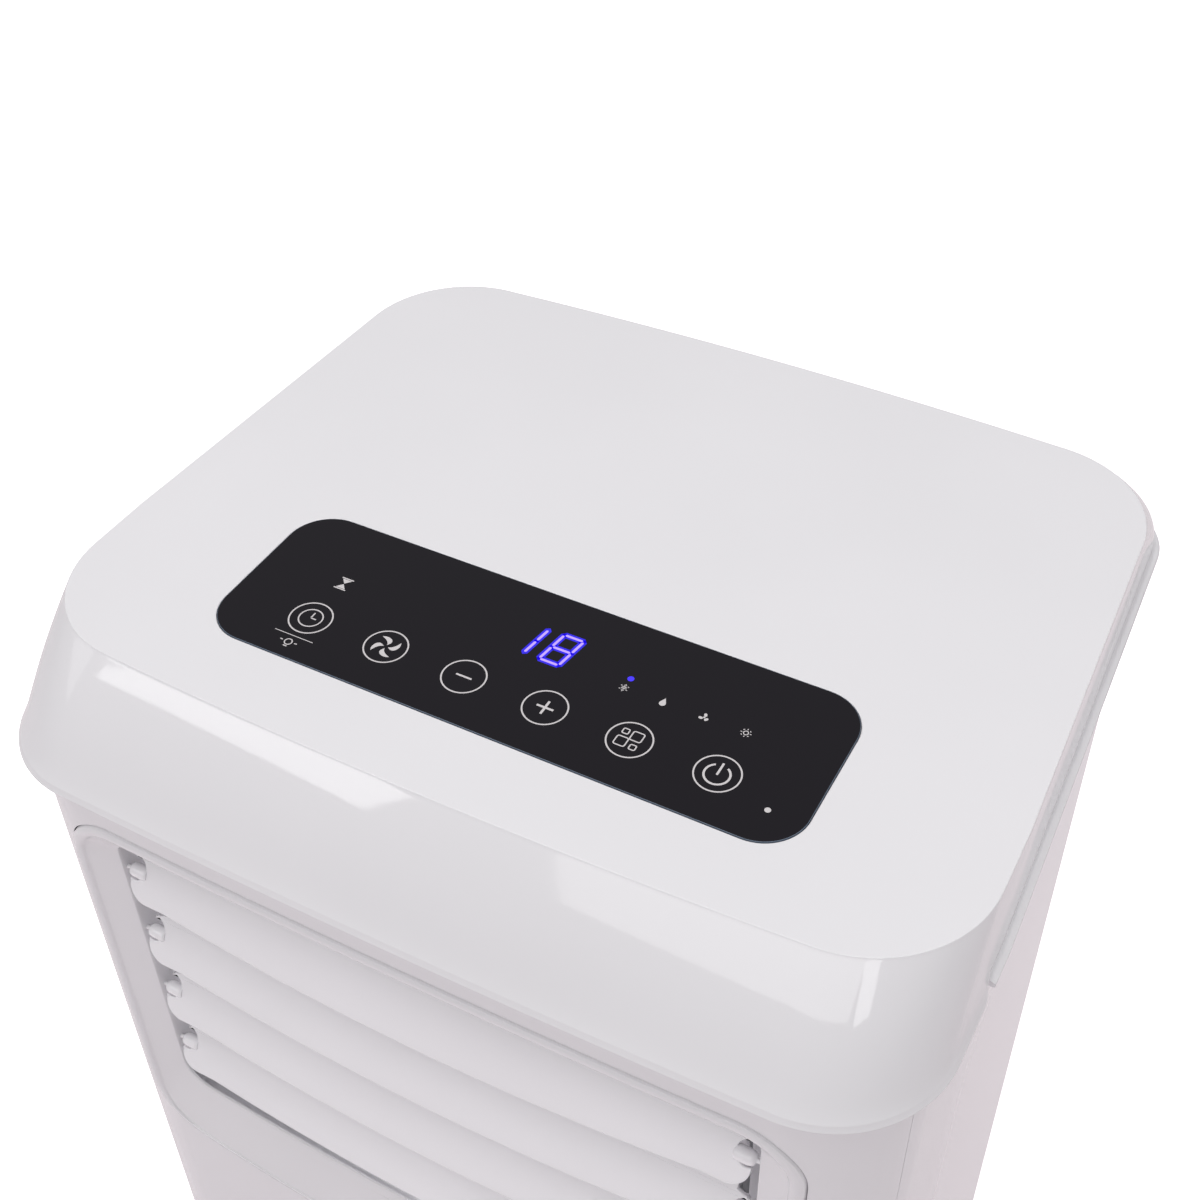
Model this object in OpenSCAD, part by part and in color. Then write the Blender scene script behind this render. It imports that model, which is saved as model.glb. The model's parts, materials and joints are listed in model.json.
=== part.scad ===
// Portable air conditioner on four castors, built as separate pieces.
// Origin: middle of the footprint, on the floor. The front faces -Y and +Z is up. Millimetres.

/* [Body] */
// Width over the rim of the top cover
rim_w = 350; // [346:1:356]
// Depth from the front rim to the mouth of the exhaust collar
total_d = 350; // [348:1:356]
// Height from the floor to the top of the cover
total_h = 700; // [696:1:716]
// Radius of the rim's four corners
corner_r = 43.5; // [40:0.5:46]
// Wall thickness of the shells
wall = 2.5; // [2:0.1:2.6]

/* [Control panel] */
// Width of the dark glass
glass_w = 221; // [200:1:224]
// Depth of the dark glass
glass_d = 69.8; // [60:0.1:72]
// Corner radius of the dark glass
glass_r = 16; // [10:1:22]

/* [Louvers] */
// Distance from one louver's pivot to the next
louver_pitch = 36.24; // [35:0.1:37]
// Tilt of the louvers from upright at rest
louver_tilt = 28; // [20:1:32]
// Thickness of a louver
louver_t = 2; // [1.6:0.1:2.4]

/* [Exhaust] */
// Inside radius of the exhaust collar
exhaust_r = 65; // [60:0.5:66]

/* [Castors] */
// Radius of a castor wheel
wheel_r = 20; // [18:0.5:20]
// Distance from the swivel axis to the axle
castor_trail = 14; // [10:1:15]

/* [Hidden] */
$fn = 64;

// Fits: radial clearance of a shaft in its bore, and the gap between separate shells
run = 0.06;
gap = 0.3;

// Heights
ledge_z = total_h - 41.5;          // top of the ledge that the cover stands on
ledge_t = 3;
base_z = 62;                       // top of the base pan's skirt
floor_z = 49;                      // inside floor of the base pan
tray_z = total_h - 248;            // underside of the drip tray
duct_lo = total_h - 238.2;         // inside floor of the front air duct
duct_hi = total_h - 64;            // inside ceiling of the front air duct

// Plans: [front corner centre, radius, front bow, y where the side starts to taper,
//         rear corner centre, radius, rear bow]
front_y = -total_d / 2;
rear_rim_y = 154;
rim_bow = 1.9;
rear_r = 31;                       // corner radius of the rim at the back
rim_plan = [[rim_w / 2 - corner_r, front_y + rim_bow + corner_r], corner_r, rim_bow, -83,
    [rim_w / 2 - 8.7 - rear_r, rear_rim_y - rear_r], rear_r, 0];
top_r = 44.2;
top_bow = 3.6;
top_plan = [[rim_w / 2 - 4.1 - top_r, front_y + 31.3 + top_bow + top_r], top_r, top_bow, -70,
    [rim_w / 2 - 10 - top_r, 74.3], top_r, 3.7];
inset = 6.5;                       // body inside the rim
skirt_in = 3;                      // foot of the cover's skirt inside the rim
body_front = front_y + inset;
body_back = rear_rim_y - inset;
notch_y = -97.4;                   // where the cover's lip ends and the housing's ledge begins
seam_y = -141.1;                   // seam between front panel and rear housing

// Control panel
glass_y = -78.8;
glass_t = 1.9;
recess_t = 2;

// Louvers
louver_n = 4;
pivot_y = -158.4;
pivot_z1 = total_h - 91.5;
pin_r = 2.8;
slot_hw = 126.9;                   // half-width of the louver slot
slot_y = -160.8;                   // depth of the slot's edge
spigot_back = -140;
bezel_hw = 144.1;
bezel_back = -162.3;
crank_arm = [11, -5.9];            // from a louver's pivot to its link pin, in Y and Z
motor_pivot = [-132, total_h - 146];
rotor_r = 10.5;
link_pin_r = 1.5;
link_boss_r = 3.4;

// Upright vanes
vane_x = [-104, -52, 0, 52, 104];
vane_y = -112;
vane_arm = 12;

// Rear features
collar_pos = [45, 375];            // X and Z of the exhaust collar
upper_open = [120, 475, 640];      // half-width, low Z and high Z of each rear opening
lower_open = [120, 80, 285];
grip_box = [-45, 65, 592, 622];    // Y and Z limits of a hand-grip opening
gland_pos = [-105, 340];
upper_drain = [-100, 440];
lower_drain = [-100, 55];
screw_z = 69;
screw_y = -88;                     // screws in the two sides

// Inside
castor_pos = [[-112, -105], [112, -105], [-108, 88], [108, 88]];
comp_pos = [-80, -75];
comp_r = 60;
foot_angles = [90, 210, 330];
foot_reach = 78;
acc_pos = [8, -105];
evap_fan = [20, total_h - 155];    // Y and Z of the cross-flow fan's axis
cond_fan = [30, 165];              // X and Z of the condenser fan's axis
splash_pos = [-100, 78];

white = [0.9, 0.89, 0.9];
shade = [0.82, 0.8, 0.82];
metal = [0.72, 0.73, 0.75];

// ---------- helpers ----------

function arc(c, r, a0, a1, n) = [for (i = [0:n]) let (a = a0 + (a1 - a0) * i / n) c + r * [cos(a), sin(a)]];

function mirrored(half) = concat(half, [for (i = [len(half) - 1:-1:0]) [-half[i][0], half[i][1]]]);

// Outline of a plan, moved inwards by d
function outline(p, d) = let (fr = p[1] - d, rr = p[5] - d,
        taper = atan((p[0].x + fr - p[4].x - rr) / (p[4].y - p[3])))
    mirrored(concat(
        [for (t = [0.25, 0.5, 0.75]) [p[0].x * t, p[0].y - fr - p[2] * (1 - t * t)]],
        arc(p[0], fr, -90, 0, 10),
        [[p[0].x + fr, p[3]]],
        arc(p[4], rr, taper, 90, 10),
        p[6] == 0 ? [] : [for (t = [0.75, 0.5, 0.25]) [p[4].x * t, p[4].y + rr + p[6] * (1 - t * t)]]));

// Outline of the louver opening in X and Z: straight top, bottom bowed downwards in the middle
function window(hw, zt, zs, zm, rb, rt) = let (xc = hw - 0.86 * rb, a = atan(2 * (zs - zm) / xc))
    mirrored(concat(
        [for (t = [0.2:0.2:0.8]) [xc * t, zm + (zs - zm) * t * t]],
        arc([hw - rb, zs + rb * cos(a)], rb, a - 90, 0, 8),
        arc([hw - rt, zt - rt], rt, 0, 90, 6)));

function bezel_outline(d) = window(bezel_hw + d, total_h - 60 + d, total_h - 260 - d, total_h - 268.5 - d, 30 + d, 24 + d);
function slot_outline() = window(slot_hw, total_h - 77, total_h - 228.8, total_h - 237.5, 13, 10);
function pivot_z(i) = pivot_z1 - louver_pitch * i;

module prism(p, d, z0, z1) { translate([0, 0, z0]) linear_extrude(z1 - z0) polygon(outline(p, d)); }

module ring(d0, d1, z0, z1) {
    translate([0, 0, z0]) linear_extrude(z1 - z0) difference() {
        polygon(outline(rim_plan, d0));
        polygon(outline(rim_plan, d1));
    }
}

module box(a, b) { translate(a) cube(b - a); }
module xcyl(x0, x1, y, z, r) { translate([x0, y, z]) rotate([0, 90, 0]) cylinder(h = x1 - x0, r = r); }
module ycyl(x, y0, y1, z, r) { translate([x, y0, z]) rotate([-90, 0, 0]) cylinder(h = y1 - y0, r = r); }
module zcyl(x, y, z0, z1, r) { translate([x, y, z0]) cylinder(h = z1 - z0, r = r); }
// A flat shape drawn in Y and Z, given thickness along X
module yz(x0, x1) { translate([x0, 0, 0]) rotate([90, 0, 90]) linear_extrude(x1 - x0) children(); }
// A flat shape drawn in X and Z, given thickness along Y
module xz(y0, y1) { translate([0, y1, 0]) rotate([90, 0, 0]) linear_extrude(y1 - y0) children(); }

module rounded_rect(w, h, r) {
    square([w - 2 * r, h], center = true);
    square([w, h - 2 * r], center = true);
    for (x = [-1, 1], y = [-1, 1]) translate([x * (w / 2 - r), y * (h / 2 - r)]) circle(r);
}

// A straight flat link between two round ends
module link_2d(a, b, ra, rb) {
    d = b - a;
    n = [-d.y, d.x] / norm(d);
    translate(a) circle(ra);
    translate(b) circle(rb);
    polygon([a + n * ra, b + n * rb, b - n * rb, a - n * ra]);
}

// A tube through a list of points, with a swollen joint at each bend
module tube(pts, r) {
    for (i = [0:len(pts) - 2]) {
        d = pts[i + 1] - pts[i];
        translate(pts[i]) rotate([0, acos(d.z / norm(d)), atan2(d.y, d.x)]) cylinder(h = norm(d), r = r, $fn = 32);
        if (i > 0) translate(pts[i]) sphere(r + 0.8, $fn = 32);
    }
}

// ---------- top cover and controls ----------

module cover_form(d, drop) {
    hull() {
        prism(rim_plan, skirt_in + d, ledge_z - drop, ledge_z + 0.5);
        prism(top_plan, d, total_h - 3 - drop, total_h - 2.8 - drop);
        prism(top_plan, d + 0.9, total_h - 1 - drop, total_h - 0.9 - drop);
        prism(top_plan, d + 3, total_h - 0.1 - drop, total_h - drop);
    }
}

module top_cover() {
    color(white) difference() {
        union() {
            difference() {
                cover_form(0, 0);
                cover_form(wall, 2.6);
            }
            intersection() {
                ring(0, skirt_in + wall, ledge_z, ledge_z + 2.8);
                box([-rim_w, front_y - 1, 0], [rim_w, notch_y, total_h]);
            }
            translate([0, glass_y, total_h - 4.8]) linear_extrude(2.4) rounded_rect(glass_w + 6, glass_d + 6, glass_r + 3);
        }
        translate([0, glass_y, total_h - recess_t]) linear_extrude(5) rounded_rect(glass_w + 0.5, glass_d + 0.5, glass_r);
        translate([0, glass_y, total_h - 9]) linear_extrude(9) rounded_rect(glass_w - 24, glass_d - 20, 6);
    }
}

module control_glass() {
    color([0.13, 0.12, 0.14]) translate([0, glass_y, total_h - glass_t]) linear_extrude(glass_t)
        rounded_rect(glass_w, glass_d, glass_r);
}

board_top = total_h - 7;
module touch_board() {
    color([0.1, 0.35, 0.2]) difference() {
        translate([0, glass_y, board_top - 1.6]) linear_extrude(1.6) rounded_rect(glass_w - 30, glass_d - 24, 3);
        for (x = [-1, 1], y = [-1, 1]) zcyl(x * 91, glass_y + y * 19, board_top - 3, board_top + 1, 1.6);
    }
}

module touch_springs() {
    color(metal) for (i = [0:5]) zcyl(-77.5 + 31 * i, glass_y - 15, board_top, total_h - glass_t, 4.5);
}

module display_module() {
    color([0.1, 0.1, 0.12]) box([-14, glass_y + 1, board_top], [14, glass_y + 20, total_h - glass_t]);
}

// ---------- front ----------

module front_panel() {
    color(shade) difference() {
        union() {
            ring(inset, inset + wall, base_z, ledge_z);
            ring(skirt_in + 0.2, inset + wall, ledge_z - ledge_t, ledge_z);
        }
        box([-rim_w, seam_y - gap / 2, 0], [rim_w, total_d, total_h]);
        xz(front_y - 5, -140) polygon(bezel_outline(0.5));
    }
}

module louver_bezel() {
    color(white) difference() {
        union() {
            intersection() {
                xz(front_y, bezel_back) polygon(bezel_outline(0));
                prism(rim_plan, inset, total_h - 300, total_h - 50);
            }
            difference() {
                box([-slot_hw - 3.5, bezel_back - 0.5, duct_lo - 3.3], [slot_hw + 3.5, spigot_back, duct_hi + 3]);
                box([-slot_hw, bezel_back - 1, duct_lo], [slot_hw, spigot_back + 1, duct_hi]);
            }
        }
        xz(front_y - 5, bezel_back + 0.1) polygon(slot_outline());
        hull() {
            xz(slot_y, slot_y + 0.1) polygon(slot_outline());
            xz(body_front - 1.5, body_front - 1.4) polygon(bezel_outline(-3));
        }
        for (i = [0:louver_n - 1]) xcyl(-bezel_hw, bezel_hw, pivot_y, pivot_z(i), pin_r + run);
    }
}

// Half of a louver's outline: X along the blade, Y up the blade from its pivot
louver_half = concat(
    [for (x = [20:20:100]) [x, -18.5 + 5.8 * pow(x / 105, 2)]],
    arc([116.4, -3.4], 8, -90, 0, 6),
    [[124.4, -1], [118.2, 3], [118.2, 22], [115.7, 24.5]]);

module louver(i) {
    color(white) translate([0, pivot_y, pivot_z(i)]) {
        difference() {
            rotate([90 - louver_tilt, 0, 0]) translate([0, 0, -louver_t / 2]) linear_extrude(louver_t) difference() {
                polygon(mirrored(louver_half));
                for (x = [-1, 1]) translate([x * 123.4, 1]) circle(5.4);
            }
        }
        for (x = [0, 1]) mirror([x, 0, 0]) xcyl(113, slot_hw + 3.7, 0, 0, pin_r);
        xcyl(-slot_hw - 4.3, -slot_hw - 3, 0, 0, pin_r);
        yz(-slot_hw - 6.8, -slot_hw - 4.3) link_2d([0, 0], crank_arm, 3.2, 3);
        xcyl(-slot_hw - 9.9, -slot_hw - 6.8, crank_arm.x, crank_arm.y, link_pin_r);
    }
}

link_x = -slot_hw - 9.7;
module louver_link() {
    bar_y = pivot_y + crank_arm.x;
    pin_z = [for (i = [0:louver_n - 1]) pivot_z(i) + crank_arm.y];
    drive_pin = motor_pivot + crank_arm;
    color(white) difference() {
        union() {
            box([link_x, bar_y - 2.5, pin_z[louver_n - 1]], [link_x + 2.5, bar_y + 2.5, pin_z[0]]);
            box([link_x, bar_y, drive_pin.y - 2.5], [link_x + 2.5, drive_pin.x, drive_pin.y + 2.5]);
            for (z = pin_z) xcyl(link_x, link_x + 2.5, bar_y, z, link_boss_r);
            xcyl(link_x, link_x + 2.5, drive_pin.x, drive_pin.y, link_boss_r);
        }
        for (z = pin_z) xcyl(link_x - 1, link_x + 4, bar_y, z, link_pin_r + run);
        xcyl(link_x - 1, link_x + 4, drive_pin.x, drive_pin.y, link_pin_r + run);
    }
}

module louver_crank() {
    color(white) {
        yz(link_x - 3, link_x - 0.5) link_2d(motor_pivot, motor_pivot + crank_arm, 4, 3);
        xcyl(link_x - 0.5, link_x + 2.4, motor_pivot.x + crank_arm.x, motor_pivot.y + crank_arm.y, link_pin_r);
        xcyl(link_x - 13, link_x - 3, motor_pivot.x, motor_pivot.y, 2.5);
        // the motor's rotor, pressed on the same shaft
        xcyl(link_x - 12.5, link_x - 7, motor_pivot.x, motor_pivot.y, rotor_r);
    }
}

module swing_motor() {
    color(metal) difference() {
        union() {
            xcyl(link_x - 21.4, link_x - 3.8, motor_pivot.x, motor_pivot.y, 14);
            xcyl(link_x - 28, link_x - 21.4, motor_pivot.x, motor_pivot.y, 5);
        }
        xcyl(link_x - 13.6, link_x - 3, motor_pivot.x, motor_pivot.y, 2.5 + run);
        xcyl(link_x - 12.9, link_x - 6.6, motor_pivot.x, motor_pivot.y, rotor_r + 0.4);
    }
}

module air_vane(i) {
    notch_z = duct_lo + 16;
    color(shade) translate([vane_x[i], vane_y, 0]) {
        difference() {
            union() {
                box([-0.8, -16, duct_lo + 1.9], [0.8, 16, duct_hi - 1.7]);
                zcyl(0, 0, duct_lo + 1.9, duct_hi - 1.7, 2.4);
            }
            box([-5, vane_arm - 5.5, notch_z], [5, 17, notch_z + 10]);
        }
        zcyl(0, 0, duct_lo - 2.3, duct_hi + 2.5, 2);
        zcyl(0, vane_arm, notch_z - 0.5, notch_z + 10.5, link_pin_r);
    }
}

module vane_link() {
    z0 = duct_lo + 19.5;
    y0 = vane_y + vane_arm;
    color(shade) difference() {
        union() {
            box([vane_x[0] - 5, y0 - 3, z0], [vane_x[4] + 5, y0 + 3, z0 + 3]);
            box([21, y0 - 24, z0], [31, y0, z0 + 3]);
        }
        for (x = vane_x) zcyl(x, y0, z0 - 1, z0 + 4, link_pin_r + run);
    }
}

// ---------- rear housing and what is fixed to it ----------

module rear_housing() {
    color(shade) difference() {
        union() {
            ring(inset, inset + wall, base_z, ledge_z);
            ring(skirt_in + 0.2, inset + wall, ledge_z - ledge_t, ledge_z);
            intersection() {
                ring(0, inset + wall, ledge_z - ledge_t, ledge_z);
                box([-rim_w, notch_y + 0.4, 0], [rim_w, total_d, total_h]);
            }
        }
        box([-rim_w, front_y - 5, 0], [rim_w, seam_y + gap / 2, total_h]);
        for (o = [upper_open, lower_open]) box([-o[0], 120, o[1]], [o[0], 160, o[2]]);
        ycyl(collar_pos.x, 120, 160, collar_pos.y, exhaust_r + 3.6);
        ycyl(gland_pos.x, 120, 160, gland_pos.y, 8.2);
        ycyl(upper_drain.x, 120, 160, upper_drain.y, 5.6);
        for (x = [-1, 1]) {
            box([x > 0 ? 120 : -rim_w, grip_box[0], grip_box[2]], [x > 0 ? rim_w : -120, grip_box[1], grip_box[3]]);
            ycyl(x * 112, 120, 160, screw_z, 2.1);
        }
        xcyl(-rim_w, rim_w, screw_y, screw_z, 2.1);
    }
}

module grip(side) {
    color(shade) mirror([side > 0 ? 0 : 1, 0, 0]) difference() {
        intersection() {
            box([140, grip_box[0] + gap, grip_box[2] + gap], [rim_w / 2, grip_box[1] - gap, grip_box[3] - gap]);
            prism(rim_plan, inset, 500, total_h);
        }
        box([142.5, grip_box[0] + 2.8, grip_box[2] + 2.8], [rim_w, grip_box[1] - 2.8, grip_box[3] - 2.8]);
    }
}

// A rear grille: a rim over the wall, a lip inside the opening, level slats and upright bars
module grille(o) {
    slat_pitch = 9;
    w = o[0] + 2;
    color(shade) {
        difference() {
            box([-w, body_back, o[1] - 4], [w, body_back + 3.5, o[2] + 4]);
            box([-o[0] + 6, body_back - 1, o[1] + 4], [o[0] - 6, body_back + 5, o[2] - 4]);
        }
        difference() {
            box([-o[0] + 0.5, body_back - 7.4, o[1] + 0.5], [o[0] - 0.5, body_back, o[2] - 0.5]);
            box([-o[0] + 2.5, body_back - 8, o[1] + 2.5], [o[0] - 2.5, body_back + 1, o[2] - 2.5]);
        }
        for (z = [o[1] + 4 + slat_pitch:slat_pitch:o[2] - 6])
            box([-o[0] + 5, body_back + 0.2, z - 1.2], [o[0] - 5, body_back + 2.6, z + 1.2]);
        for (x = [-58, 0, 58]) box([x - 1.5, body_back, o[1] + 3], [x + 1.5, body_back + 2.2, o[2] - 3]);
    }
}

// A washable filter: a frame with bars, held inside the grille's lip
module filter(o) {
    w = o[0] - 2.8;
    lo = o[1] + 2.8;
    hi = o[2] - 2.8;
    color([0.25, 0.27, 0.3]) {
        difference() {
            box([-w, body_back - 6.6, lo], [w, body_back - 2.6, hi]);
            box([-w + 5, body_back - 8, lo + 5], [w - 5, body_back - 2, hi - 5]);
        }
        for (x = [-87, -58, -29, 0, 29, 58, 87]) box([x - 1, body_back - 6, lo + 4], [x + 1, body_back - 4, hi - 4]);
        for (z = [lo + 30:30:hi - 20]) box([-w + 4, body_back - 6, z - 1], [w - 4, body_back - 4, z + 1]);
    }
}

module exhaust_collar() {
    color(shade) difference() {
        union() {
            ycyl(collar_pos.x, body_back, body_back + 4, collar_pos.y, exhaust_r + 10);
            ycyl(collar_pos.x, body_back - 4, total_d / 2, collar_pos.y, exhaust_r + 3);
        }
        ycyl(collar_pos.x, 120, 200, collar_pos.y, exhaust_r);
    }
}

module cord_gland() {
    color([0.15, 0.15, 0.16]) difference() {
        union() {
            ycyl(gland_pos.x, body_back, body_back + 3, gland_pos.y, 12);
            ycyl(gland_pos.x, body_back - 9, body_back + 14, gland_pos.y, 8);
        }
        ycyl(gland_pos.x, 120, 200, gland_pos.y, 4);
    }
}

module drain_plug(pos, stem) {
    color([0.2, 0.2, 0.22]) {
        ycyl(pos.x, body_back + 0.1, body_back + 4.5, pos.y, 9);
        ycyl(pos.x, body_back - stem, body_back + 0.2, pos.y, 5);
        box([pos.x - 7, body_back + 4, pos.y - 1.5], [pos.x + 7, body_back + 8, pos.y + 1.5]);
    }
}

module housing_screws() {
    color(metal) {
        for (x = [-1, 1]) {
            ycyl(x * 112, body_back - 12, body_back + 0.1, screw_z, 1.9);
            ycyl(x * 112, body_back, body_back + 2, screw_z, 4);
            mirror([x > 0 ? 0 : 1, 0, 0]) {
                xcyl(rim_w / 2 - inset - 12, rim_w / 2 - inset + 0.1, screw_y, screw_z, 1.9);
                xcyl(rim_w / 2 - inset, rim_w / 2 - inset + 2, screw_y, screw_z, 4);
            }
        }
    }
}

// ---------- base and castors ----------

module base_pan() {
    color(shade) difference() {
        union() {
            ring(inset, inset + 3, floor_z - 13, base_z);
            prism(rim_plan, inset + 1, floor_z - 3, floor_z);
            ring(inset + 2.9, inset + 4.9, floor_z - 1, base_z + 16);
            for (p = castor_pos) zcyl(p.x, p.y, floor_z - 3, floor_z + 12, 9);
            ycyl(lower_drain.x, body_back - 12.5, body_back - 1, lower_drain.y, 8);
        }
        for (p = castor_pos) zcyl(p.x, p.y, floor_z - 4, floor_z + 9.6, 4 + run);
        ycyl(lower_drain.x, body_back - 11.6, body_back + 1, lower_drain.y, 5 + run);
        for (x = [-1, 1]) ycyl(x * 112, 120, 160, screw_z, 2);
        xcyl(-rim_w, rim_w, screw_y, screw_z, 2);
        for (x = [-1, 1], y = [-30, -15, 0]) box([x * 60 - 25, y, floor_z - 5], [x * 60 + 25, y + 5, floor_z - 4]);
    }
}

module castor_fork(i) {
    p = castor_pos[i];
    color([0.25, 0.25, 0.27]) translate([p.x, p.y, 0]) {
        zcyl(0, 0, 42, 45.4, 14);
        zcyl(0, 0, 45, floor_z + 9, 4);
        for (s = [0, 1]) mirror([s, 0, 0]) yz(9.6, 11.8) {
            translate([castor_trail, wheel_r]) circle(6);
            polygon([[-7, 43], [7, 43], [castor_trail + 6, wheel_r], [castor_trail - 5.5, wheel_r - 2]]);
        }
        xcyl(-11.8, 11.8, castor_trail, wheel_r, 3);
    }
}

module castor_wheel(i) {
    p = castor_pos[i];
    color([0.3, 0.3, 0.32]) translate([p.x, p.y + castor_trail, wheel_r]) rotate([0, 90, 0]) rotate_extrude() polygon([
        [3 + run, -9], [9, -9], [9, -7], [15, -7], [15, -8.5], [wheel_r - 1.5, -8.5], [wheel_r, -7],
        [wheel_r, 7], [wheel_r - 1.5, 8.5], [15, 8.5], [15, 7], [9, 7], [9, 9], [3 + run, 9]]);
}

// ---------- lower chamber ----------

module compressor() {
    color([0.12, 0.12, 0.13]) translate([comp_pos.x, comp_pos.y, 0]) difference() {
        union() {
            rotate_extrude() polygon([[0, 62], [46, 62], [comp_r, 76], [comp_r, 256], [46, 270], [18, 276], [0, 276]]);
            for (a = foot_angles) rotate(a) {
                box([comp_r - 20, -14, 62], [foot_reach, 14, 65]);
                zcyl(foot_reach, 0, 62, 65, 14);
            }
        }
        for (a = foot_angles) rotate(a) zcyl(foot_reach, 0, 60, 67, 8);
    }
}

module compressor_feet() {
    color([0.18, 0.18, 0.18]) translate([comp_pos.x, comp_pos.y, 0]) for (a = foot_angles) rotate(a) difference() {
        union() {
            zcyl(foot_reach, 0, floor_z, 61.9, 11);
            zcyl(foot_reach, 0, 61, 66, 7.8);
            zcyl(foot_reach, 0, 65.1, 68, 11);
        }
        zcyl(foot_reach, 0, floor_z + 1, 70, 3);
    }
}

module accumulator() {
    to_shell = comp_pos - acc_pos;
    color([0.14, 0.14, 0.15]) {
        translate([acc_pos.x, acc_pos.y, 0]) rotate_extrude()
            polygon([[0, 106], [14, 110], [24, 120], [24, 236], [14, 248], [0, 252]]);
        tube([[acc_pos.x, acc_pos.y, 108], [acc_pos.x, acc_pos.y, 90],
            concat(acc_pos + to_shell * (1 - (comp_r + 0.3) / norm(to_shell)), [90])], 5);
    }
}

valve_y = 10;
valve_z = 330;
module reversing_valve() {
    color([0.72, 0.55, 0.3]) {
        xcyl(-110, -40, valve_y, valve_z, 14);
        zcyl(-75, valve_y, valve_z, valve_z + 20, 6);
        ycyl(-80, valve_y - 20, valve_y, valve_z, 6);
        zcyl(-60, valve_y, valve_z - 34, valve_z, 8);
    }
}

module refrigerant_pipes() {
    color([0.75, 0.42, 0.25]) {
        tube([[comp_pos.x, comp_pos.y, 276.2], [comp_pos.x, comp_pos.y, valve_z], [-80, valve_y - 20.1, valve_z]], 5);
        tube([[acc_pos.x, acc_pos.y, 252.2], [acc_pos.x, acc_pos.y, valve_z], [acc_pos.x, valve_y, valve_z],
            [-39.8, valve_y, valve_z]], 5);
        tube([[-110.2, valve_y, valve_z], [-125, valve_y, valve_z], [-125, 118, valve_z], [-125, 118, 290.3]], 5);
        tube([[-75, valve_y, valve_z + 20.2], [-75, valve_y, 400], [-143, valve_y, 400], [-143, 100, 400],
            [-143, 100, tray_z + 48], [-129.2, 100, tray_z + 48]], 4);
    }
}

// A finned coil: fin pack, two end plates and return bends on both ends
module coil(hw, y0, y1, z0, z1, bend_pitch) {
    ym = (y0 + y1) / 2;
    color(metal) {
        box([-hw, y0, z0], [hw, y1, z1]);
        for (x = [-1, 1]) box([x * hw - 1, y0 - 1.5, z0], [x * hw + 1, y1 + 1.5, z1 + 2]);
    }
    color([0.75, 0.42, 0.25]) for (z = [z0 + 22:bend_pitch:z1 - 12]) translate([hw, ym, z]) rotate([90, 0, 0])
        rotate([0, 0, -90]) rotate_extrude(angle = 180, $fn = 32) translate([7, 0]) circle(3.5);
}

module condenser_coil() { coil(130, 100, 134, floor_z, 288, 30); }
module evaporator_coil() { coil(128, 90, 118, tray_z + 3, duct_hi - 2, 28); }

// A forward-curved wheel: hub side disc, open side ring and a row of blades
module wheel_blades(n, r, w, twist) {
    for (i = [0:n - 1]) rotate(i * 360 / n) translate([r, 0, 0]) rotate(twist) translate([-w / 2, -0.7, 0]) children();
}

module condenser_fan() {
    color(shade) translate([cond_fan.x, 42, cond_fan.y]) rotate([-90, 0, 0]) {
        cylinder(h = 2, r = 72);
        difference() {
            translate([0, 0, 42]) cylinder(h = 2, r = 72);
            translate([0, 0, 41]) cylinder(h = 4, r = 58);
        }
        cylinder(h = 18, r = 12);
        translate([0, 0, -32]) cylinder(h = 34, r = 4);
        wheel_blades(24, 65, 11, 35) cube([11, 1.4, 43]);
    }
}

duct_x = [-37, 127];
duct_z = [300, 450];
module condenser_scroll() {
    color(white) difference() {
        union() {
            xz(34, 94) {
                translate(cond_fan) circle(88);
                translate([cond_fan.x + 24, cond_fan.y]) square([64, duct_z[0] - cond_fan.y + 1]);
            }
            box([duct_x[0], 34, duct_z[0]], [duct_x[1], body_back - wall - 1.5, duct_z[1]]);
        }
        xz(36, 92) {
            translate(cond_fan) circle(86);
            translate([cond_fan.x + 26, cond_fan.y]) square([60, duct_z[0] - cond_fan.y + 5]);
        }
        box([duct_x[0] + 2, 36, duct_z[0] + 2], [duct_x[1] - 2, body_back - wall - 3.5, duct_z[1] - 2]);
        ycyl(cond_fan.x, 90, 96, cond_fan.y, 56);
        ycyl(cond_fan.x, 30, 38, cond_fan.y, 20);
        ycyl(collar_pos.x, 130, 150, collar_pos.y, exhaust_r + 1);
    }
}

module condenser_motor() {
    color(metal) difference() {
        union() {
            ycyl(cond_fan.x, -42, 28, cond_fan.y, 38);
            ycyl(cond_fan.x, 27, 34, cond_fan.y, 44);
        }
        ycyl(cond_fan.x, 6, 40, cond_fan.y, 4 + run);
        ycyl(cond_fan.x, 28, 40, cond_fan.y, 18);
    }
}

module electrical_box() {
    color(metal) difference() {
        box([40, -155, tray_z - 142], [140, -95, tray_z]);
        box([42, -153, tray_z - 140], [138, -94, tray_z - 2]);
    }
}

module run_capacitor() {
    color([0.8, 0.8, 0.82]) {
        zcyl(70, -125, tray_z - 140, tray_z - 60, 20);
        for (x = [-7, 7]) box([70 + x - 0.5, -129, tray_z - 61], [70 + x + 0.5, -121, tray_z - 52]);
    }
}

module splash_wheel() {
    color(white) translate([splash_pos.x, 0, splash_pos.y]) rotate([-90, 0, 0]) {
        difference() {
            translate([0, 0, 66]) cylinder(h = 5, r = 26);
            for (a = [0:30:330]) rotate(a) translate([19, -2, 60]) cube([10, 4, 20]);
        }
        translate([0, 0, 41]) cylinder(h = 26, r = 3);
    }
}

module splash_motor() {
    color(metal) difference() {
        union() {
            ycyl(splash_pos.x, 20, 60, splash_pos.y, 18);
            box([splash_pos.x - 8, 25, floor_z], [splash_pos.x + 8, 55, splash_pos.y - 10]);
        }
        ycyl(splash_pos.x, 40, 61, splash_pos.y, 3 + run);
    }
}

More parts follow.
